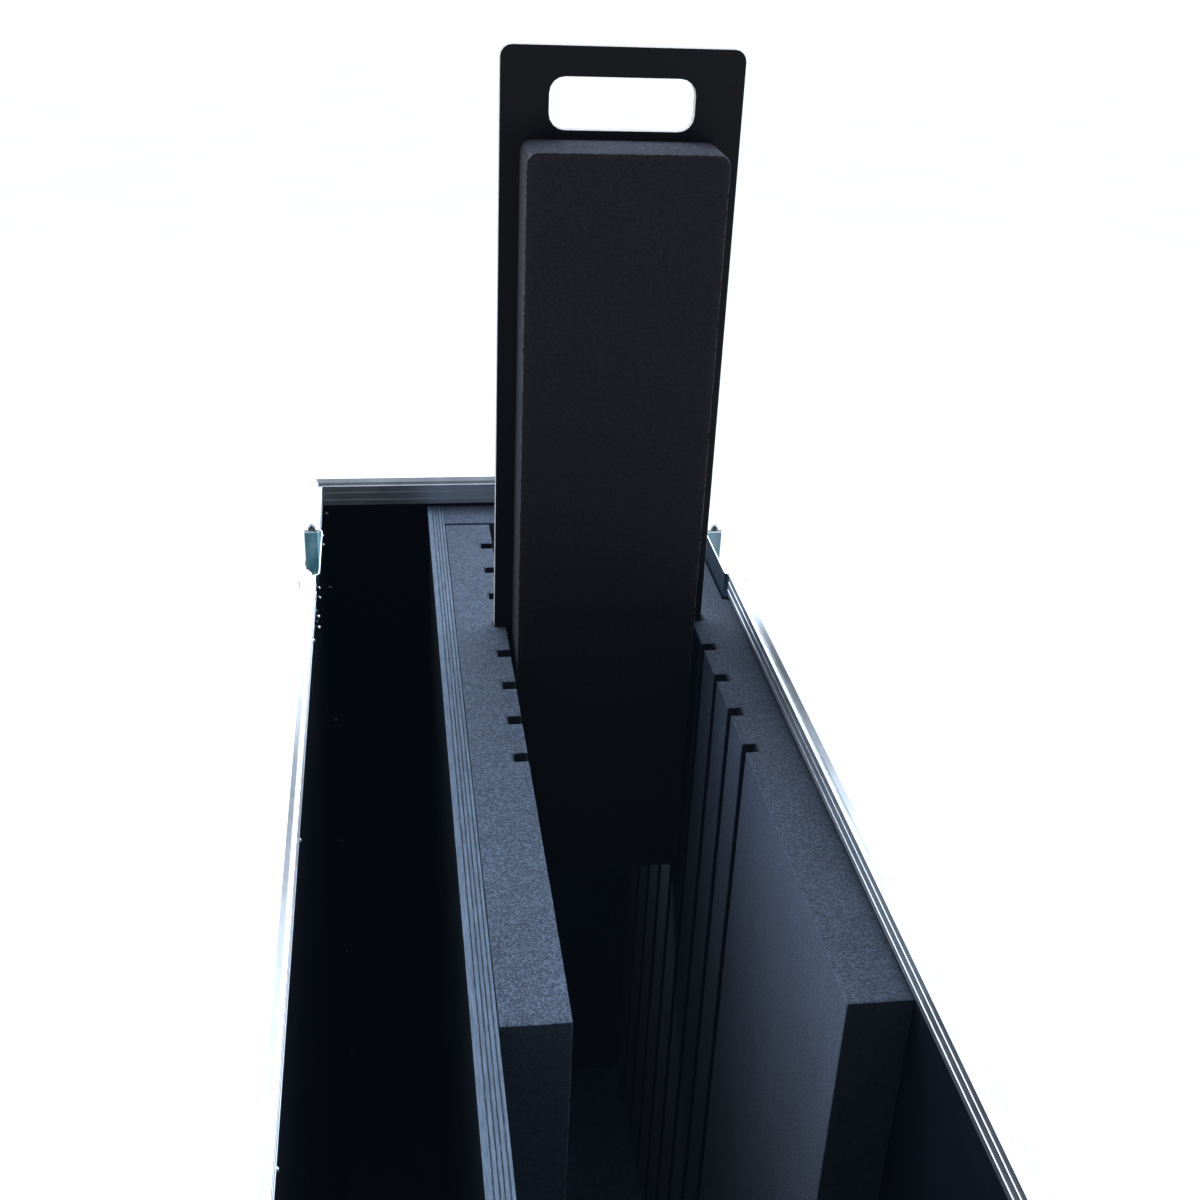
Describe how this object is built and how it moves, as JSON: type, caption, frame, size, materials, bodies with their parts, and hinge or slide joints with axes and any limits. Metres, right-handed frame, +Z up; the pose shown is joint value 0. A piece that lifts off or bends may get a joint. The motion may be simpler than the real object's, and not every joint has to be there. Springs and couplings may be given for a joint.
{
  "type": "screen flight case",
  "caption": "Open base of a long flight case for flat screens: foam-lined bay with slotted foams and a lift-out padded divider, accessory bay, aluminium rim and castors.",
  "frame": {"origin": "on the ground, under the middle of the case", "axes": "+X across the case from the accessory bay to the screen bay, +Y along it towards the slotted end, +Z up"},
  "size_m": [0.4634, 1.6392, 1.5882],
  "materials": {
    "laminate": "satin",
    "plywood": "matte",
    "panel": "satin",
    "foam": "matte",
    "pad_foam": "matte",
    "anodised": "satin",
    "zinc": "satin",
    "castor_steel": "satin",
    "tread": "matte",
    "grip": "satin"
  },
  "bodies": {
    "case": {"floor_panel": "laminate", "left_wall": "laminate", "right_wall": "laminate", "far_wall": "laminate", "near_wall": "laminate", "bay_wall": "plywood", "left_foam": "foam", "right_foam": "foam", "far_foam": "foam", "near_foam": "foam", "floor_foam": "foam", "rim_far": "anodised", "rim_near": "anodised", "rim_left_far": "anodised", "rim_left_middle": "anodised", "rim_left_near": "anodised", "rim_right_far": "anodised", "rim_right_middle": "anodised", "rim_right_near": "anodised", "corner_angle_far_left": "anodised", "corner_angle_far_right": "anodised", "corner_angle_near_left": "anodised", "corner_angle_near_right": "anodised", "bottom_angle_far": "anodised", "bottom_angle_near": "anodised", "bottom_angle_left": "anodised", "bottom_angle_right": "anodised", "ball_corner_far_left": "zinc", "ball_corner_far_right": "zinc", "ball_corner_near_left": "zinc", "ball_corner_near_right": "zinc", "latch_dish_far_left": "zinc", "latch_dish_far_right": "zinc", "latch_dish_near_left": "zinc", "latch_dish_near_right": "zinc", "latch_keeper_far_left": "zinc", "latch_keeper_far_right": "zinc", "latch_keeper_near_left": "zinc", "latch_keeper_near_right": "zinc", "handle_dish_far": "zinc", "handle_dish_near": "zinc", "castor_board_far": "laminate", "castor_board_near": "laminate", "castor_plate_far_left": "castor_steel", "castor_plate_far_right": "castor_steel", "castor_plate_near_left": "castor_steel", "castor_plate_near_right": "castor_steel"},
    "divider": {"divider_panel": "panel", "divider_pad": "pad_foam"},
    "handle_far": {"handle_bail_far": "grip"},
    "handle_near": {"handle_bail_near": "grip"},
    "fork_far_left": {"castor_fork_far_left": "castor_steel"},
    "fork_far_right": {"castor_fork_far_right": "castor_steel"},
    "fork_near_left": {"castor_fork_near_left": "castor_steel"},
    "fork_near_right": {"castor_fork_near_right": "castor_steel"},
    "wheel_far_left": {"castor_wheel_far_left": "tread"},
    "wheel_far_right": {"castor_wheel_far_right": "tread"},
    "wheel_near_left": {"castor_wheel_near_left": "tread"},
    "wheel_near_right": {"castor_wheel_near_right": "tread"}
  },
  "joints": [
    {"name": "divider_slide", "type": "slide", "parent": "case", "child": "divider", "axis": [0, 0, 1], "range_m": [-0.544, 0.306]},
    {"name": "handle_far_swing", "type": "hinge", "parent": "case", "child": "handle_far", "pos_m": [0, 0.8026, 0.7396], "axis": [1, 0, 0], "range_deg": [0, 90], "stiffness_Nm_per_rad": 0.3, "springref_deg": -28.65},
    {"name": "handle_near_swing", "type": "hinge", "parent": "case", "child": "handle_near", "pos_m": [0, -0.8026, 0.7396], "axis": [-1, 0, 0], "range_deg": [0, 90], "stiffness_Nm_per_rad": 0.3, "springref_deg": -28.65},
    {"name": "castor_far_left_swivel", "type": "hinge", "parent": "case", "child": "fork_far_left", "pos_m": [-0.1605, 0.714, 0.1135], "axis": [0, 0, 1], "continuous": true},
    {"name": "castor_far_right_swivel", "type": "hinge", "parent": "case", "child": "fork_far_right", "pos_m": [0.1605, 0.714, 0.1135], "axis": [0, 0, 1], "continuous": true},
    {"name": "castor_near_left_swivel", "type": "hinge", "parent": "case", "child": "fork_near_left", "pos_m": [-0.1605, -0.714, 0.1135], "axis": [0, 0, 1], "continuous": true},
    {"name": "castor_near_right_swivel", "type": "hinge", "parent": "case", "child": "fork_near_right", "pos_m": [0.1605, -0.714, 0.1135], "axis": [0, 0, 1], "continuous": true},
    {"name": "castor_far_left_spin", "type": "hinge", "parent": "fork_far_left", "child": "wheel_far_left", "pos_m": [-0.1605, 0.68, 0.05], "axis": [1, 0, 0], "continuous": true},
    {"name": "castor_far_right_spin", "type": "hinge", "parent": "fork_far_right", "child": "wheel_far_right", "pos_m": [0.1605, 0.68, 0.05], "axis": [1, 0, 0], "continuous": true},
    {"name": "castor_near_left_spin", "type": "hinge", "parent": "fork_near_left", "child": "wheel_near_left", "pos_m": [-0.1605, -0.748, 0.05], "axis": [1, 0, 0], "continuous": true},
    {"name": "castor_near_right_spin", "type": "hinge", "parent": "fork_near_right", "child": "wheel_near_right", "pos_m": [0.1605, -0.748, 0.05], "axis": [1, 0, 0], "continuous": true}
  ]
}
